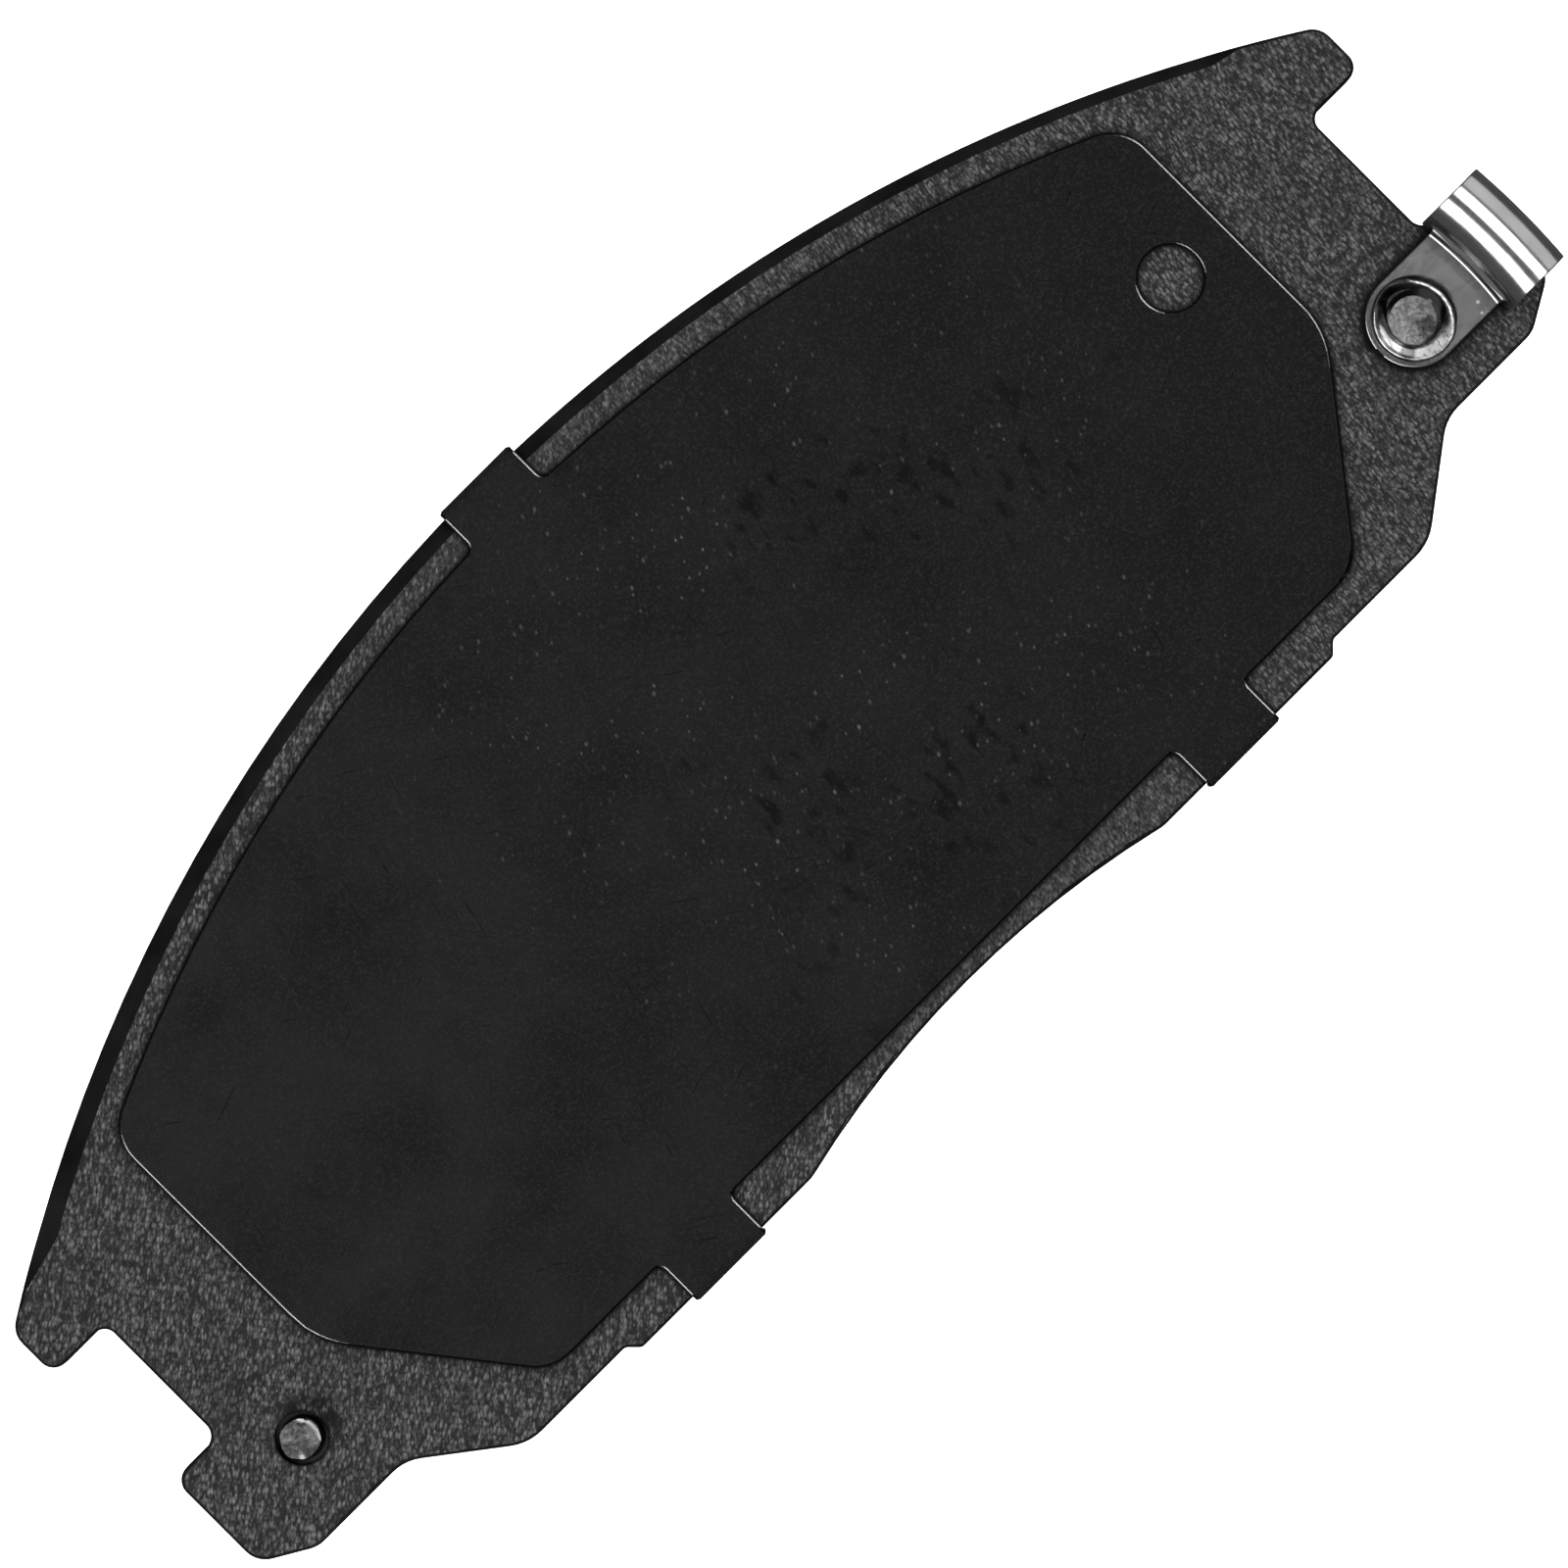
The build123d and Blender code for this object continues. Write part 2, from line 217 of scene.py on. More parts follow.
def colour(value):
    return (*value, 1.0) if isinstance(value, tuple) else (value, value, value, 1.0)


def powder_coat():
    """Black textured powder coat: grainy on the flat faces, smooth on the bevel, drawn on the sides."""
    f = Finish("powder_coat", Specular_IOR_Level=0.15)
    flat = f.fade(f.calc("ABSOLUTE", f.facing("Z")), 0.9, 0.98)
    left = flecks(f, 0.25 * MM, math.radians(-50), 0.0)
    right = flecks(f, 0.235 * MM, math.radians(-6), 3.0)
    grain_and_glints = f.blend(f.fade(f.axis("X"), -25 * MM, 40 * MM), left, right)
    drawn = f.noise(0.35 * MM, 2.0, (1, 1, 9), seed=5.0)
    normal = f.bump(f.times(grain_and_glints, flat), 0.06 * MM)
    sides = f.times(drawn, f.calc("SUBTRACT", 1.0, flat))
    normal = f.bump(sides, 0.03 * MM, normal)
    mottle = f.noise(5 * MM, 3.0, seed=2.0)
    # The flecks are raised as bumps, and their colour is brighter than the coat between them as painted
    # glints.
    glint_colour = f.fade(mottle, 0.3, 0.7, 0.15, 0.20)
    dark = f.blend(flat, f.fade(mottle, 0.3, 0.7, 0.002, 0.009), 0.006)
    base = f.blend(f.times(grain_and_glints, flat), dark, glint_colour)
    # Painted shade: the coat's colour goes near black close beside taller neighbours, such as the
    # shim's edges.
    shaded = f.crevice_shade(1.2 * MM)
    base = f.blend(shaded, base, 0.001)
    for x, y in ((rivet_axis.x, rivet_axis.y), (blank_axis.x, blank_axis.y)):
        base = f.blend(f.times(witness_arc(f, x, y), 0.6), base, 0.003)
    # A darker, rougher patch on the +X side of the blank rivet's hole.
    dark_patch_x = blank_axis.x + 1.3 * MM
    dark_patch = f.near(dark_patch_x, blank_axis.y + 0.3 * MM, 2.0 * MM, 3.1 * MM)
    base = f.blend(f.times(dark_patch, f.fade(f.noise(1.2 * MM), 0.3, 0.6)), base, 0.002)
    # Painted shade: the plate's coat is coloured near black on the wall of the blank rivet's hole.
    from_hole = f.away_from(blank_axis.x, blank_axis.y)
    hole = f.under(from_hole, BLANK_HOLE_RADIUS, BLANK_HOLE_RADIUS + 0.25 * MM)
    base = f.blend(hole, base, 0.001)
    roughness = f.fade(f.noise(0.5 * MM, 2.0, seed=7.0), 0.3, 0.7, 0.42, 0.55)
    roughness = f.calc("ADD", roughness, f.times(dark_patch, 0.2))
    roughness = f.blend(shaded, roughness, 0.8)
    roughness = f.blend(hole, roughness, 1.0)
    return f.made(base, roughness, normal)


def flecks(f, size, turn, seed):
    """Short raised flecks of uneven brightness, longest along Y before they are turned."""
    stretch = (1, 2.2, 1)
    wobble = f.noise(0.7 * size, 2.0, stretch, turn, seed + 5)
    total = None
    for part, share in ((1.0, 1.0), (0.62, 0.55)):
        place = dict(stretch=stretch, turn=turn, seed=seed + 17 * part)
        dot = f.under(f.cells(part * size, **place), 0.05, 0.75)
        level = f.fade(f.cells(part * size, "Color", **place), 0.3, 0.8, 0.05, 1.0)
        level = f.times(f.calc("POWER", level, 1.4), share)
        layer = f.times(dot, level)
        total = layer if total is None else f.calc("ADD", total, layer)
    return f.times(total, f.fade(wobble, 0.3, 0.7, 0.6, 1.5))


def witness_arc(f, x, y):
    """A faint ring that the riveting tool left, seen only on the side of the outer arc."""
    away = f.away_from(x, y)
    off_ring = f.calc("ABSOLUTE", f.calc("SUBTRACT", away, 6.4 * MM))
    ring = f.under(off_ring, 0.1 * MM, 0.4 * MM)
    upwards = f.calc("SUBTRACT", f.axis("Y"), y)
    return f.times(ring, f.fade(upwards, 4.2 * MM, 5.4 * MM))


def shim_rubber():
    """Thin black rubber on the shim, with dust specks, scuffs and fine scratches."""
    f = Finish("shim_rubber", Specular_IOR_Level=0.22)
    flat = f.fade(f.facing("Z"), 0.9, 0.98)
    mottle = f.noise(9 * MM, 4.0, seed=1.0)
    fine = f.noise(0.22 * MM, 2.0, seed=4.0)
    along = f.fade(f.axis("X"), -58 * MM, 58 * MM, 0.0075, 0.0006)
    base = f.blend(f.fade(mottle, 0.42, 0.76), along, 0.001)
    base = f.blend(f.fade(fine, 0.48, 0.75), base, 0.0145)
    where = f.fade(f.noise(9 * MM, 2.0, seed=11.0), 0.40, 0.60)
    handled = f.fade(f.away_from(12 * MM, 0.0), 14 * MM, 40 * MM, 1.0, 0.1)
    where = f.times(where, handled)
    for seed, size in ((0.0, 1.35 * MM), (6.0, 0.95 * MM)):
        place = dict(flat=True, seed=seed, stretch=(1, 1.6, 1), turn=math.radians(-25))
        dot = f.under(f.cells(size, **place), 0.03, 0.13)
        kept = f.fade(f.cells(size, "Color", **place), 0.62, 0.92)
        speck = f.times(f.times(dot, kept), f.times(where, flat))
        base = f.blend(speck, base, 0.12)
    marks = None
    for turn, seed in ((20, 1.0), (75, 2.0), (-35, 3.0)):
        lines = f.noise(0.16 * MM, 1.0, (26, 1, 1), math.radians(turn), seed)
        patch = f.fade(f.noise(8 * MM, 1.0, seed=seed + 20), 0.52, 0.62)
        line = f.times(f.fade(lines, 0.72, 0.78), patch)
        marks = line if marks is None else f.calc("MAXIMUM", marks, line)
    rubbed = f.fade(f.noise(12 * MM, 1.0, seed=25.0), 0.53, 0.62)
    scuffs = f.times(f.fade(f.noise(1.2 * MM, 5.0, (1, 2, 1), seed=15.0), 0.56, 0.68), rubbed)
    marks = f.calc("MAXIMUM", marks, f.times(scuffs, f.times(handled, 0.8)))
    base = f.blend(f.times(marks, 0.8), base, 0.0005)
    roughness = f.blend(marks, f.fade(mottle, 0.3, 0.7, 0.76, 0.82), 1.0)
    normal = f.bump(fine, 0.012 * MM)
    normal = f.bump(marks, -0.01 * MM, normal)
    return f.made(base, roughness, normal)


def sheared_steel():
    """The shim's steel: bare on cut edges that face along the pad; painted dark as shade elsewhere."""
    f = Finish("shim_steel", Metallic=1.0)
    cut = f.under(f.calc("ABSOLUTE", f.facing("Z")), 0.996, 0.999)
    along = f.calc("ABSOLUTE", f.facing("X"))
    share = f.calc("DIVIDE", along, f.calc("ADD", along, f.calc("ABSOLUTE", f.facing("Y"))))
    cut = f.times(cut, f.fade(share, 0.56, 0.8))
    drawn = f.noise(0.05 * MM, 2.0, (1, 1, 6), seed=2.0)
    base = f.blend(f.fade(drawn, 0.3, 0.7), 0.26, 0.42)
    # Painted shade: dark everywhere but on the cut edges that face the lamps along the pad.
    base = f.blend(cut, 0.012, base)
    roughness = f.fade(f.noise(0.4 * MM, 2.0), 0.3, 0.7, 0.34, 0.46)
    return f.made(base, roughness, f.bump(drawn, 0.004 * MM))


def spring_steel():
    """Bright cold-rolled strip, with faint lines along the bend and a few specks of dust."""
    f = Finish("spring_steel", Metallic=1.0)
    rolled = f.noise(0.09 * MM, 2.0, (1, 40, 1), seed=3.0)
    cloud = f.noise(2.5 * MM, 3.0, seed=8.0)
    base = f.blend(f.fade(cloud, 0.3, 0.7), 0.5, 0.58)
    # Painted shade: the strip's colour is darkened close beside the rivet's rolled rim.
    base = f.blend(f.crevice_shade(0.45 * MM), base, 0.04)
    hump_z = PLATE_BACK + STRIP_BEND + STRIP
    hump = f.fade(f.axis("X"), HUMP_X - HUMP_RADIUS - 0.5 * MM, HUMP_X - HUMP_RADIUS)
    scuffed = f.noise(0.3 * MM, 3.0, (3, 1, 1))
    base = f.blend(hump, f.fade(cloud, 0.3, 0.7, 0.30, 0.34), base)
    tab_roughness = f.fade(scuffed, 0.3, 0.7, 0.18, 0.22)
    hump_roughness = f.fade(scuffed, 0.3, 0.7, 0.14, 0.18)
    roughness = f.blend(hump, tab_roughness, hump_roughness)
    for x, y, size in ((4.65, -2.75, 0.16), (4.25, -3.6, 0.14)):
        away = f.away_from(rivet_axis.x + x * MM, rivet_axis.y + y * MM)
        roughness = f.blend(f.under(away, 0.6 * size * MM, size * MM), roughness, 0.6)
    # Painted shade on the low part of the hump's left wall, dimming a reflection there.
    low_wall = f.under(f.axis("Z"), hump_z + 0.9 * MM, hump_z + 1.6 * MM)
    before_hump = f.fade(f.axis("X"), HUMP_X - HUMP_RADIUS - 0.1 * MM, HUMP_X - HUMP_RADIUS)
    left_wall = f.times(before_hump, f.under(f.axis("X"), HUMP_X - 1.5 * MM, HUMP_X))
    low_wall_shade = f.times(low_wall, left_wall)
    base = f.blend(low_wall_shade, base, 0.09)
    roughness = f.blend(low_wall_shade, roughness, 0.5)
    depth = f.times(rolled, f.fade(hump, 0, 1, 0.3, 1.0))
    return f.made(base, roughness, f.bump(depth, 0.004 * MM))


def rivet_steel():
    """Plated rivet steel: smeared where the rim was rolled over, dull on the blank's sheared end."""
    f = Finish("rivet_steel", Metallic=1.0, Specular_Tint=colour(0.35))
    cloud = f.noise(1.1 * MM, 4.0, seed=5.0)
    pits = f.noise(0.25 * MM, 2.0, seed=9.0)
    smear = f.noise(0.5 * MM, 3.0, seed=12.0)
    base = f.blend(f.fade(cloud, 0.35, 0.65), 0.34, 0.6)
    # Painted shade: the rivets' colour is darkened in their crevices.
    base = f.blend(f.times(f.crevice_shade(0.5 * MM), 0.5), base, 0.03)
    roughness = f.fade(pits, 0.3, 0.7, 0.16, 0.26)
    base = cup_marks_and_shade(f, base, cloud, smear)
    base, roughness = flare_marks(f, base, roughness, smear)
    base, roughness = sheared_end(f, base, roughness, smear)
    return f.made(base, roughness, f.bump(pits, 0.003 * MM))


def cup_marks_and_shade(f, base, cloud, smear):
    """Inside the rolled rim: a floor with a darker patch, and walls painted dark as shade but for one
    spot.
    """
    height = f.axis("Z")
    floor_top = rivet_high.z - CUP_DEPTH
    cup_floor = f.under(height, floor_top + 0.02 * MM, floor_top + 0.1 * MM)
    ragged = f.fade(smear, 0.3, 0.7, -0.45 * MM, 0.45 * MM)
    # A darker patch on the cup's floor.
    from_floor_patch = f.calc("ADD", f.away_from(rivet_axis.x + 0.4 * MM, rivet_axis.y - 1.2 * MM), ragged)
    base = f.blend(cup_floor, base, f.fade(cloud, 0.35, 0.65, 0.30, 0.42))
    base = f.blend(f.times(cup_floor, f.under(from_floor_patch, 0.6 * MM, 1.2 * MM)), base, 0.12)
    above_floor = f.fade(height, floor_top, floor_top + 0.05 * MM)
    # Painted shade: the cup's walls on the +Y and +X sides are coloured dark, except for one small
    # spot.
    wall = f.times(above_floor, f.under(height, rivet_high.z - 0.3 * MM, rivet_high.z - 0.12 * MM))
    upper_side = f.fade(f.axis("Y"), rivet_axis.y - 1.2 * MM, rivet_axis.y + 0.6 * MM)
    right_side = f.fade(f.axis("X"), rivet_axis.x + 1.2 * MM, rivet_axis.x + 1.5 * MM)
    off_spot = f.fade(f.away_from(rivet_axis.x + 1.8 * MM, rivet_axis.y + 0.1 * MM), 0.12 * MM, 0.34 * MM)
    dark = f.times(f.calc("MAXIMUM", upper_side, right_side), off_spot)
    in_cup = f.near(rivet_axis.x, rivet_axis.y, 3.4 * MM, 3.5 * MM)
    return f.blend(f.times(f.times(wall, dark), in_cup), base, 0.07)


def flare_marks(f, base, roughness, smear):
    """The rolled rim's flare: streaks, a dull patch, and scuffs on the -X and -Y sides."""
    flare = f.fade(f.axis("Z"), rivet_high.z - 0.55 * MM, rivet_high.z - 0.35 * MM)
    low_side = f.under(f.axis("Y"), rivet_axis.y - 2.4 * MM, rivet_axis.y - 1.7 * MM)
    left_side = f.under(f.axis("X"), rivet_axis.x - 2.9 * MM, rivet_axis.x - 2.1 * MM)
    dull = f.near(rivet_axis.x - 2.4 * MM, rivet_axis.y - 1.6 * MM, 0.5 * MM, 0.9 * MM)
    base = f.blend(dull, base, 0.10)
    streaks = f.fade(f.noise(0.22 * MM, 3.0, (1, 2.5, 1), seed=3.0), 0.5, 0.62, 0.0, 0.7)
    base = f.blend(f.times(flare, streaks), base, 0.12)
    scuffed = f.times(flare, f.calc("MAXIMUM", low_side, f.times(left_side, 0.4)))
    return base, f.blend(scuffed, roughness, f.fade(smear, 0.3, 0.7, 0.34, 0.5))


def sheared_end(f, base, roughness, smear):
    """The blank rivet: a dull end with a bare edge and a painted highlight, in a gap with painted
    shade.
    """
    blank = f.under(f.axis("X"), -1 * MM, 1 * MM)
    base = f.blend(blank, base, f.fade(smear, 0.35, 0.65, 0.12, 0.26))
    bare = f.near(blank_axis.x + 1.5 * MM, blank_axis.y - 0.2 * MM, 0.6 * MM, 1.1 * MM)
    base = f.blend(bare, base, 0.15)
    roughness = f.blend(bare, roughness, 0.32)
    # Painted highlight: a small pale spot on the blank's end, low on its -X side.
    glint_spot = f.near(blank_axis.x - 1.1 * MM, blank_axis.y - 1.15 * MM, 0.1 * MM, 0.34 * MM)
    base = f.blend(glint_spot, base, 0.36)
    roughness = f.blend(glint_spot, roughness, 0.42)
    # Painted shade: the blank's nose is coloured darker down in the gap around it.
    height = f.axis("Z")
    gap_shade = f.times(blank, f.under(height, blank_high.z - 1.0 * MM, blank_high.z - 0.7 * MM))
    gap_shade = f.times(gap_shade, f.fade(height, PLATE_FRONT, PLATE_FRONT + 0.1 * MM))
    return f.blend(gap_shade, base, 0.08), f.blend(gap_shade, roughness, 0.6)


def friction_compound():
    """Ground friction compound: grey binder with pale grains, dark grains, brass chips and pores."""
    f = Finish("friction_compound", Specular_IOR_Level=0.35)
    ground = f.under(f.facing("Z"), -0.9, -0.7)
    cloud = f.noise(4 * MM, 4.0)
    base = f.blend(f.fade(cloud, 0.3, 0.7), (0.035, 0.032, 0.029), (0.075, 0.068, 0.06))
    for size, seed, keep, tint in (
        (1.4 * MM, 1.0, 0.72, (0.012, 0.011, 0.010)),
        (0.9 * MM, 2.0, 0.80, (0.24, 0.22, 0.19)),
        (0.7 * MM, 3.0, 0.86, (0.38, 0.22, 0.07)),
        (0.55 * MM, 4.0, 0.82, (0.16, 0.085, 0.045)),
    ):
        dot = f.under(f.cells(size, seed=seed, stretch=(1.5, 1, 1)), 0.22, 0.34)
        kept = f.fade(f.cells(size, "Color", seed=seed, stretch=(1.5, 1, 1)), keep, keep + 0.03)
        shown = f.fade(ground, 0, 1, 0.35, 1.0)
        base = f.blend(f.times(f.times(dot, kept), shown), base, tint)
    # Pores are bumped in and coloured near black as their painted shade.
    pores_and_shade = f.under(f.noise(0.8 * MM, 3.0, seed=6.0), 0.3, 0.42)
    base = f.blend(pores_and_shade, base, (0.012, 0.011, 0.01))
    lines = f.times(f.noise(0.25 * MM, 2.0, (40, 1, 1), seed=4.0), ground)
    grit = f.noise(0.3 * MM, 3.0, seed=7.0)
    normal = f.bump(lines, 0.05 * MM)
    normal = f.bump(grit, 0.10 * MM, normal)
    normal = f.bump(pores_and_shade, -0.25 * MM, normal)
    roughness = f.fade(grit, 0.3, 0.7, 0.7, 0.9)
    return f.made(base, roughness, normal)


def underlayer_compound():
    """Brown underlayer with short pale fibres; the friction compound laps over its lower edge."""
    f = Finish("underlayer_compound", Specular_IOR_Level=0.35)
    cloud = f.noise(2.5 * MM, 4.0, seed=3.0)
    base = f.blend(f.fade(cloud, 0.3, 0.7), (0.045, 0.032, 0.022), (0.085, 0.062, 0.042))
    fibres = f.fade(f.noise(0.14 * MM, 1.0, (9, 9, 1), seed=5.0), 0.66, 0.72)
    base = f.blend(fibres, base, (0.22, 0.17, 0.10))
    wave = f.fade(f.noise(3 * MM, 3.0, seed=9.0), 0.2, 0.8, -0.5 * MM, 0.5 * MM)
    edge = f.calc("ADD", f.axis("Z"), wave)
    lapped = f.under(edge, block_high.z + 0.35 * MM, block_high.z + 0.5 * MM)
    base = f.blend(lapped, base, (0.05, 0.046, 0.042))
    grit = f.noise(0.35 * MM, 3.0, seed=2.0)
    roughness = f.fade(grit, 0.3, 0.7, 0.68, 0.88)
    return f.made(base, roughness, f.bump(grit, 0.12 * MM))


def cured_adhesive():
    """Amber film adhesive, squeezed out a little along the joint."""
    f = Finish("adhesive", Coat_Weight=0.2)
    cloud = f.noise(1.5 * MM, 3.0)
    base = f.blend(f.fade(cloud, 0.3, 0.7), (0.10, 0.045, 0.012), (0.2, 0.1, 0.03))
    roughness = f.fade(cloud, 0.3, 0.7, 0.3, 0.5)
    return f.made(base, roughness, f.bump(f.noise(0.3 * MM), 0.03 * MM))


def piece_from(name, shape, material, node, smooth_angle):
    """A new mesh piece, from points and faces, that stands for a CAD node."""
    points, faces = shape
    mesh = bpy.data.meshes.new(name)
    mesh.from_pydata(points, [], faces)
    return dress(bpy.data.objects.new(name, mesh), material, node, smooth_angle)


def dress(piece, material, node, smooth_angle):
    if piece.name not in bpy.context.scene.collection.objects:
        bpy.context.scene.collection.objects.link(piece)
    piece.data.materials.clear()
    piece.data.materials.append(material)
    tidy = bmesh.new()
    tidy.from_mesh(piece.data)
    bmesh.ops.recalc_face_normals(tidy, faces=tidy.faces)
    tidy.to_mesh(piece.data)
    tidy.free()
    piece.data.shade_smooth()
    piece.data.set_sharp_from_angle(angle=math.radians(smooth_angle))
    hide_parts(node)
    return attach(piece, "root")


def bridged(rings):
    """Faces between rings of equal length, given as one list of points, and a face at each end."""
    points = [point for ring in rings for point in ring]
    count = len(rings[0])
    faces = []
    for row in range(len(rings) - 1):
        this, following = row * count, (row + 1) * count
        for i in range(count):
            j = (i + 1) % count
            faces.append((this + i, this + j, following + j, following + i))
    faces.append(tuple(range(count)))
    faces.append(tuple((len(rings) - 1) * count + i for i in reversed(range(count))))
    return points, faces


def strip_section():
    """Section loop of the strip, as (side, inset, height): its edges are rounded."""
    columns = 12
    across = [-1 + 2 * i / columns for i in range(columns + 1)]
    corner = []
    for i in range(1, 5):
        a = math.radians(22.5 * i)
        corner.append((STRIP_EDGE * (1 - math.sin(a)), STRIP_EDGE * (1 - math.cos(a))))
    loop = [(u, STRIP_EDGE, STRIP) for u in across]
    loop += [(1, inset, STRIP - drop) for inset, drop in corner]
    loop += [(1, inset, drop) for inset, drop in reversed(corner)]
    loop += [(u, STRIP_EDGE, 0.0) for u in reversed(across)]
    loop += [(-1, inset, drop) for inset, drop in corner]
    loop += [(-1, inset, STRIP - drop) for inset, drop in reversed(corner)]
    return loop


def strip_rows():
    """Rows along the strip: (x, z) of its inner face, the way out of it, and its half width."""
    inner = HUMP_RADIUS - STRIP
    bend = STRIP_BEND + STRIP
    rise_x = HUMP_X - inner
    hump_z = PLATE_BACK + bend
    rows = []
    for i in range(7):
        x = rivet_axis.x + (rise_x - bend - rivet_axis.x) * i / 6
        rows.append((x, PLATE_BACK, 0.0, 1.0, STRIP_TAB_HALF))
    for i in range(1, 10):
        a = math.radians(10 * i)
        share = min(max((i - 6) / 2, 0.0), 1.0)
        half = STRIP_TAB_HALF + (STRIP_HALF - STRIP_TAB_HALF) * share
        place = (rise_x - bend + bend * math.sin(a), hump_z - bend * math.cos(a))
        rows.append((*place, -math.sin(a), math.cos(a), half))
    for i in range(1, 37):
        a = math.radians(180 - 5 * i)
        place = (HUMP_X + inner * math.cos(a), hump_z + inner * math.sin(a))
        rows.append((*place, math.cos(a), math.sin(a), STRIP_HALF))
    shoulder = (PLATE_FRONT + PLATE_BACK) / 2
    steps = 24
    for i in range(1, steps + 1):
        share = 1 - (1 - i / steps) ** 1.6
        z = hump_z + (strip_low.z - hump_z) * share
        half = STRIP_HALF
        if z < shoulder:
            half += (STRIP_TIP_HALF - STRIP_HALF) * (shoulder - z) / (shoulder - strip_low.z)
        tip = z - strip_low.z
        if tip < STRIP_TIP_ROUND:
            rounded = max(STRIP_TIP_ROUND**2 - (STRIP_TIP_ROUND - tip) ** 2, 0)
            half -= STRIP_TIP_ROUND - math.sqrt(rounded)
        rows.append((HUMP_X + inner, z, 1.0, 0.0, half))
    return rows


def wear_indicator_strip(material):
    """The bent strip, swept row by row; its hump is crowned a little across its width."""
    loop = strip_section()
    rings = []
    for i in range(1, END_ROWS + 1):
        a = math.radians(END_STEP * i)
        ring = []
        for u, inset, height in loop:
            reach = STRIP_TAB_HALF - inset
            x = rivet_axis.x - reach * math.cos(a)
            ring.append(Vector((x, rivet_axis.y + u * reach * math.sin(a), PLATE_BACK + height)))
        rings.append(ring)
    for x, z, out_x, out_z, half in strip_rows():
        ring = []
        for u, inset, height in loop:
            across = u * (half - inset)
            near_bend = min(max((x - rivet_axis.x) / (5 * MM), 0.0), 1.0)
            past_bend = min(max((x - HUMP_X + HUMP_RADIUS) / HUMP_RADIUS, 0.0), 1.0)
            crown = BEND_CROWN + (HUMP_CROWN - BEND_CROWN) * past_bend
            shift = -(near_bend**3) * crown * (across / STRIP_HALF) ** 2
            point = (x + out_x * height + shift, rivet_axis.y + across, z + out_z * height)
            ring.append(Vector(point))
        rings.append(ring)
    shape = bridged(rings)
    strip = piece_from("wear_indicator_strip", shape, material, "wear_indicator", 35)
    cut_hole(strip, rivet_axis, HOLE_RADIUS)
    return strip


def cut_hole(piece, axis, radius):
    """An upright round hole right through a piece."""
    drill_mesh = bpy.data.meshes.new("drill")
    drill = bpy.data.objects.new("drill", drill_mesh)
    made = bmesh.new()
    place = Matrix.Translation((axis.x, axis.y, PLATE_BACK))
    bmesh.ops.create_cone(
        made, segments=64, radius1=radius, radius2=radius, depth=6 * MM, cap_ends=True, matrix=place
    )
    made.to_mesh(drill_mesh)
    made.free()
    bpy.context.scene.collection.objects.link(drill)
    cut = piece.modifiers.new("hole", "BOOLEAN")
    cut.operation = "DIFFERENCE"
    cut.solver = "EXACT"
    cut.object = drill
    graph = bpy.context.evaluated_depsgraph_get()
    finished = bpy.data.meshes.new_from_object(piece.evaluated_get(graph))
    piece.modifiers.clear()
    piece.data = finished
    bpy.data.objects.remove(drill)


def turned(profile, axis, seed):
    """Points and faces of a profile turned about an upright axis, with irregular rings.

    Each ring is (radii, heights, looseness). The radii and heights are those on the +X, +Y, -X and
    -Y sides, with smooth changes between, and the radius wanders by about the looseness.
    """
    rings = []
    for radii, heights, loose in profile:
        ring = []
        for i in range(TURN_SEGMENTS):
            a = 2 * math.pi * i / TURN_SEGMENTS
            way = Vector((math.cos(a), math.sin(a), 0))
            wide = noise.noise(way * 1.3 + Vector((seed, heights[0] * 300, 0)))
            narrow = noise.noise(way * 4.0 + Vector((seed + 9, heights[0] * 900, 0)))
            upright = noise.noise(way * 1.7 + Vector((seed, 0, 5)))
            reach = around(radii, way) + loose * wide + 0.4 * loose * narrow
            level = around(heights, way) + 0.4 * loose * upright
            ring.append(Vector((axis.x, axis.y, level)) + way * reach)
        rings.append(ring)
    return bridged(rings)


def around(sides, way):
    """The value in a direction, between those given for the +X, +Y, -X and -Y sides.

    The +Y side's value reaches less far round than the others.
    """
    east, north, west, south = sides
    across = east if way.x > 0 else west
    if way.y > 0:
        return across + (north - across) * way.y**4
    return across + (south - across) * way.y**2


def even(radius, height, loose=0.0):
    """A ring of a turned profile that is the same all the way round."""
    return ((radius,) * 4, (height,) * 4, loose)


def head_profile(shank):
    """Low head on the disc side, from its middle to the shank, whose radius is given."""
    bottom = PLATE_FRONT - HEAD_HEIGHT
    rows = [even(0.3 * MM, bottom), even(2.0 * MM, bottom)]
    for i in range(7):
        a = math.radians(15 * i)
        radius = HEAD_RADIUS - HEAD_ROUND * (1 - math.sin(a))
        rows.append(even(radius, bottom + HEAD_ROUND * (1 - math.cos(a)), 0.02 * MM))
    rows.append(even(HEAD_RADIUS, PLATE_FRONT - 0.02 * MM))
    rows.append(even(HEAD_RADIUS - 0.05 * MM, PLATE_FRONT))
    rows.append(even(shank, PLATE_FRONT))
    return rows


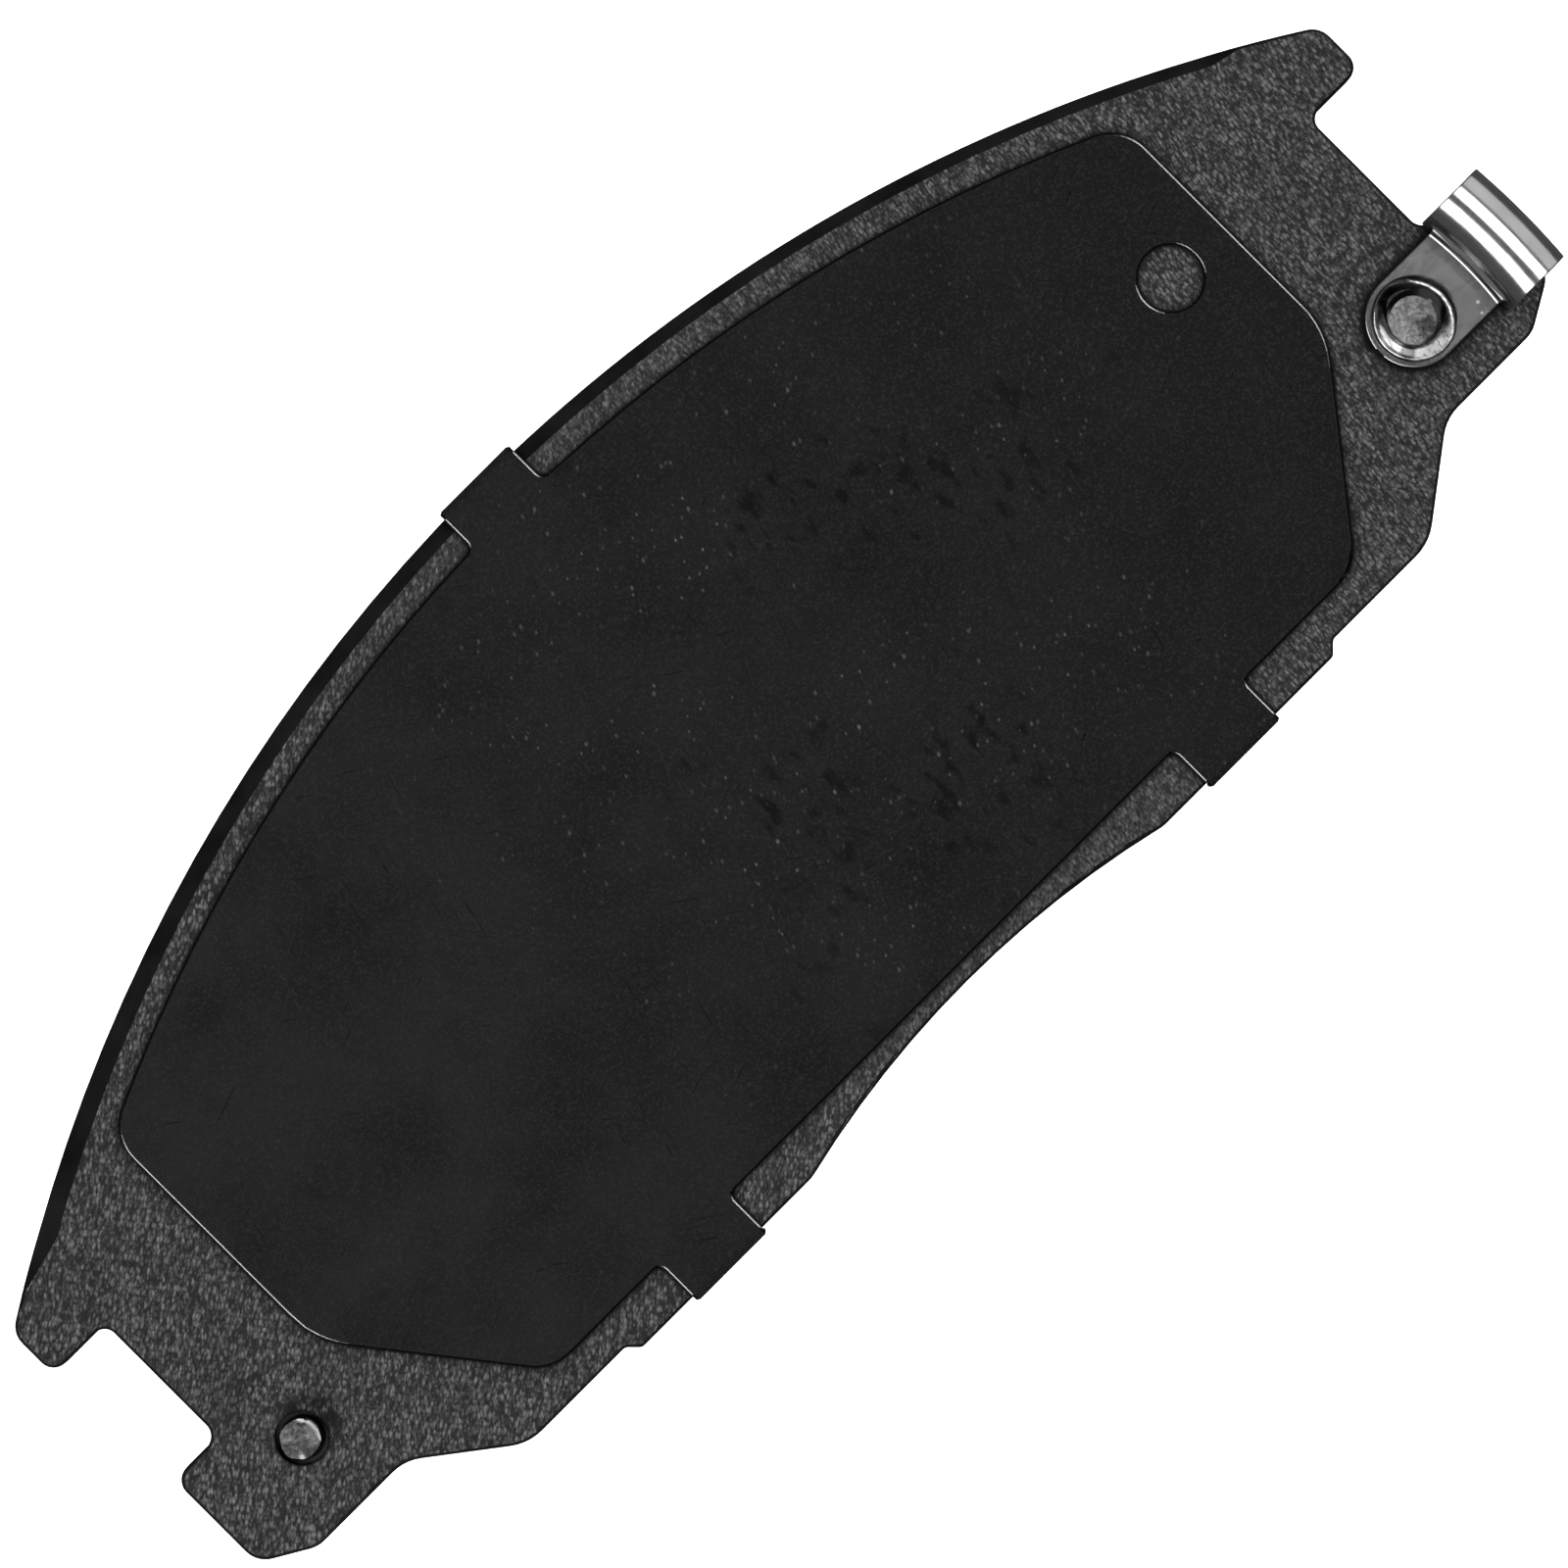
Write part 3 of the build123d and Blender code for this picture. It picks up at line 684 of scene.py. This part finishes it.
def rolled_rivet(material):
    """Tubular rivet: head, shank, and the rim that is rolled over the strip, open in a cup.

    The tool rolled it unevenly: a wide shallow flare leads to the cup on the -X and -Y sides, the
    wall slopes straight down on the +Y side, and on the +X side the crest is narrow and steep.
    """
    seat = PLATE_BACK + STRIP
    crest = rivet_high.z
    shank = HOLE_RADIUS - SHANK_GAP
    profile = head_profile(shank)
    profile.append(even(shank, seat))
    outside = (
        ((3.40, 3.35, 3.35, 3.35), (0.02, 0.02, 0.02, 0.02)),
        ((3.58, 3.52, 3.52, 3.52), (0.12, 0.14, 0.14, 0.14)),
        ((3.60, 3.62, 3.60, 3.62), (0.22, 0.40, 0.40, 0.40)),
        ((3.50, 3.62, 3.58, 3.62), (0.30, 0.70, 0.70, 0.70)),
        ((3.30, 3.55, 3.52, 3.58), (0.42, 0.92, 0.92, 0.94)),
    )
    for radii, rises in outside:
        profile.append((sides(radii), tuple(seat + rise * MM for rise in rises), 0.06 * MM))
    inside = (
        ((3.06, 3.46, 3.42, 3.50), (0.20, 0.02, 0.02, 0.02)),
        ((2.92, 3.40, 3.36, 3.44), (0.03, 0.00, 0.00, 0.00)),
        ((2.80, 3.33, 3.28, 3.36), (0.02, 0.08, 0.05, 0.02)),
        ((2.66, 3.20, 3.16, 3.18), (0.14, 0.26, 0.16, 0.05)),
        ((2.54, 2.98, 2.96, 2.90), (0.44, 0.60, 0.20, 0.09)),
        ((2.42, 2.72, 2.62, 2.58), (0.80, 1.02, 0.28, 0.14)),
        ((2.30, 2.48, 2.30, 2.34), (1.20, 1.42, 0.37, 0.21)),
        ((2.18, 2.28, 2.18, 2.20), (1.62, 1.78, 0.62, 0.50)),
        ((2.06, 2.10, 2.12, 2.12), (2.02, 2.12, 1.45, 1.40)),
        ((1.98, 1.98, 2.08, 2.08), (2.40, 2.40, 2.40, 2.40)),
        ((1.93, 1.93, 2.03, 2.03), (2.50, 2.50, 2.50, 2.50)),
        ((0.90, 0.90, 0.90, 0.90), (2.52, 2.52, 2.52, 2.52)),
        ((0.25, 0.25, 0.25, 0.25), (2.52, 2.52, 2.52, 2.52)),
    )
    for radii, depths in inside:
        loose = (0.07 if depths[2] < 0.5 else 0.02 if depths[2] < 2.0 else 0.0) * MM
        profile.append((sides(radii), tuple(crest - depth * MM for depth in depths), loose))
    shape = turned(profile, rivet_axis, seed=2.0)
    name = "wear_indicator_rolled_rivet"
    return piece_from(name, shape, material, "wear_indicator_rivet", 60)


def sides(millimetres):
    return tuple(value * MM for value in millimetres)


def blank_rivet_body(material):
    """Solid rivet whose nose stands in a ring-shaped gap of the unused hole.

    Its end was sheared off unevenly: it has a wide chamfer on the +X side and is sharp elsewhere.
    """
    neck = PLATE_BACK - NOSE_GAP_DEPTH
    top = blank_high.z
    shank = BLANK_HOLE_RADIUS - SHANK_GAP
    profile = head_profile(shank)
    profile.append(even(shank, neck))
    profile.append(even(1.86 * MM, neck + 0.02 * MM, 0.03 * MM))
    nose = (
        ((1.66, 1.72, 1.86, 1.58), (0.50, 0.30, 0.30, 0.30)),
        ((1.64, 1.70, 1.85, 1.56), (0.15, 0.06, 0.04, 0.06)),
        ((1.60, 1.66, 1.81, 1.53), (0.11, 0.00, 0.00, 0.00)),
        ((1.38, 1.55, 1.70, 1.45), (0.04, 0.00, 0.00, 0.00)),
        ((1.15, 1.40, 1.50, 1.30), (0.008, 0.00, 0.00, 0.00)),
        ((1.00, 1.10, 1.20, 1.10), (0.00, 0.00, 0.00, 0.00)),
    )
    for radii, depths in nose:
        profile.append((sides(radii), tuple(top - depth * MM for depth in depths), 0.10 * MM))
    profile.append(even(0.7 * MM, top))
    profile.append(even(0.25 * MM, top))
    shape = turned(profile, blank_axis, seed=6.0)
    return piece_from("blank_rivet_body", shape, material, "blank_rivet", 30)


def moulded_block(material):
    """The friction block's CAD shape, remeshed evenly, with pores and lightly crumbled edges."""
    block = bpy.data.objects.new("friction_block_moulded", nodes["friction_block"].data.copy())
    bpy.context.scene.collection.objects.link(block)
    remesh = block.modifiers.new("even", "REMESH")
    remesh.mode = "VOXEL"
    remesh.voxel_size = BLOCK_VOXEL
    graph = bpy.context.evaluated_depsgraph_get()
    block.data = bpy.data.meshes.new_from_object(block.evaluated_get(graph))
    block.modifiers.clear()
    points = [vertex.co.copy() for vertex in block.data.vertices]
    ways_out = [vertex.normal.copy() for vertex in block.data.vertices]
    worn = []
    for point, out in zip(points, ways_out):
        flat_top = point.z > block_high.z - 0.3 * MM and out.z > 0.5
        edge = 1.0 - max(abs(out.z), math.hypot(out.x, out.y)) ** 6
        pore = max(noise.noise(point * 1100) - 0.22, 0.0) + max(noise.noise(point * 420) - 0.3, 0.0)
        crumb = max(edge * (0.5 + noise.noise(point * 600)), 0.0)
        depth = 0.0 if flat_top else PORE_DEPTH * pore + CRUMB_DEPTH * crumb
        worn.extend(point - out * depth)
    block.data.vertices.foreach_set("co", worn)
    return dress(block, material, "friction_block", 60)


def refinish(node, material):
    """A CAD node keeps its shape and gets its finish."""
    piece = nodes[node]
    piece.data.materials.clear()
    piece.data.materials.append(material)
    return piece


def break_edges(piece, width):
    """Rounds a CAD node's sharp edges a little, and keeps its flat faces flat to the light."""
    weld = piece.modifiers.new("weld", "WELD")
    weld.merge_threshold = 0.001 * MM
    bevel = piece.modifiers.new("edge", "BEVEL")
    bevel.width = width
    bevel.segments = 4
    bevel.use_clamp_overlap = False
    bevel.limit_method = "ANGLE"
    bevel.angle_limit = math.radians(50)
    flatten = piece.modifiers.new("even", "WEIGHTED_NORMAL")
    flatten.weight = 100
    flatten.keep_sharp = False


def softbox(name, near, far, distance, radiance):
    """A soft light facing the pad, spanning angles near to far from straight up, towards +X."""
    length = SOFTBOX_LENGTH
    middle = math.radians((near + far) / 2)
    width = 2 * distance * math.tan(math.radians(abs(far - near) / 2))
    lamp = bpy.data.lights.new(name, "AREA")
    lamp.shape = "RECTANGLE"
    lamp.size = width
    lamp.size_y = length
    lamp.energy = radiance * math.pi * width * length
    box = bpy.data.objects.new(name, lamp)
    bpy.context.scene.collection.objects.link(box)
    out = Vector((math.sin(middle), 0, math.cos(middle))).normalized()
    box.location = Vector((0, 0, PLATE_BACK)) + out * distance
    box.rotation_mode = "QUATERNION"
    turn = Matrix((Vector((out.z, 0, -out.x)), Vector((0, 1, 0)), out)).transposed()
    box.rotation_quaternion = turn.to_quaternion()
    box.visible_camera = False


def lights():
    softbox("softbox_left", near=-12.5, far=-43, distance=1.7, radiance=5.0)
    softbox("softbox_right", near=12.5, far=40.5, distance=1.8, radiance=4.9)
    softbox("panel_right", near=52, far=96, distance=1.8, radiance=0.7)
    world = bpy.data.worlds.new("studio")
    bpy.context.scene.world = world
    world.use_nodes = True
    world.node_tree.nodes["Background"].inputs["Color"].default_value = (1, 1, 1, 1)
    world.node_tree.nodes["Background"].inputs["Strength"].default_value = 0.1


def pale(name):
    """Glowing white paper, with a faint cloud in it."""
    glow = {"Emission Color": (1, 1, 1, 1), "Emission Strength": STAGE_GLOW}
    f = Finish(name, Specular_IOR_Level=0.2, Roughness=0.7)
    for socket, value in glow.items():
        f.feed(f.shader.inputs[socket], value)
    f.feed(f.shader.inputs["Base Color"], f.blend(f.noise(0.4, 2.0), 0.79, 0.81))
    return f.material


def stage():
    """A pale floor, and a pale dome behind it that only the camera sees."""
    made = bmesh.new()
    bmesh.ops.create_circle(made, cap_ends=True, radius=STAGE_RADIUS, segments=96)
    floor_mesh = bpy.data.meshes.new("floor")
    made.to_mesh(floor_mesh)
    made.free()
    floor = bpy.data.objects.new("floor", floor_mesh)
    floor_mesh.materials.append(pale("floor_paper"))
    floor.location.z = -FLOOR_GAP
    floor.visible_glossy = False
    made = bmesh.new()
    bmesh.ops.create_uvsphere(made, u_segments=48, v_segments=24, radius=STAGE_RADIUS)
    low = [v for v in made.verts if v.co.z < -0.01]
    bmesh.ops.delete(made, geom=low, context="VERTS")
    dome_mesh = bpy.data.meshes.new("backdrop")
    made.to_mesh(dome_mesh)
    made.free()
    dome = bpy.data.objects.new("backdrop", dome_mesh)
    dome_mesh.materials.append(pale("backdrop_paper"))
    for ray in ("visible_glossy", "visible_diffuse", "visible_shadow", "visible_transmission"):
        setattr(dome, ray, False)
    for part in (floor, dome):
        bpy.context.scene.collection.objects.link(part)


def camera():
    view = bpy.data.cameras.new("camera")
    view.sensor_width = 36.0
    view.lens = view.sensor_width * VIEW_DISTANCE / VIEW_WIDTH
    view.clip_start = 0.05
    eye = bpy.data.objects.new("camera", view)
    bpy.context.scene.collection.objects.link(eye)
    eye.location = (*VIEW_CENTRE, PLATE_BACK + VIEW_DISTANCE)
    eye.rotation_euler = (0, 0, VIEW_ROLL)
    bpy.context.scene.camera = eye


camera()
lights()
stage()
bpy.context.scene.view_settings.view_transform = "Standard"

rubber = shim_rubber()
steel = rivet_steel()
refinish("backing_plate", powder_coat())
break_edges(refinish("shim_steel_core", sheared_steel()), SHIM_EDGE)
refinish("shim_inner_rubber", rubber)
refinish("shim_outer_rubber", rubber)
refinish("underlayer", underlayer_compound())
refinish("bonding_adhesive", cured_adhesive())
wear_indicator_strip(spring_steel())
rolled_rivet(steel)
blank_rivet_body(steel)
moulded_block(friction_compound())
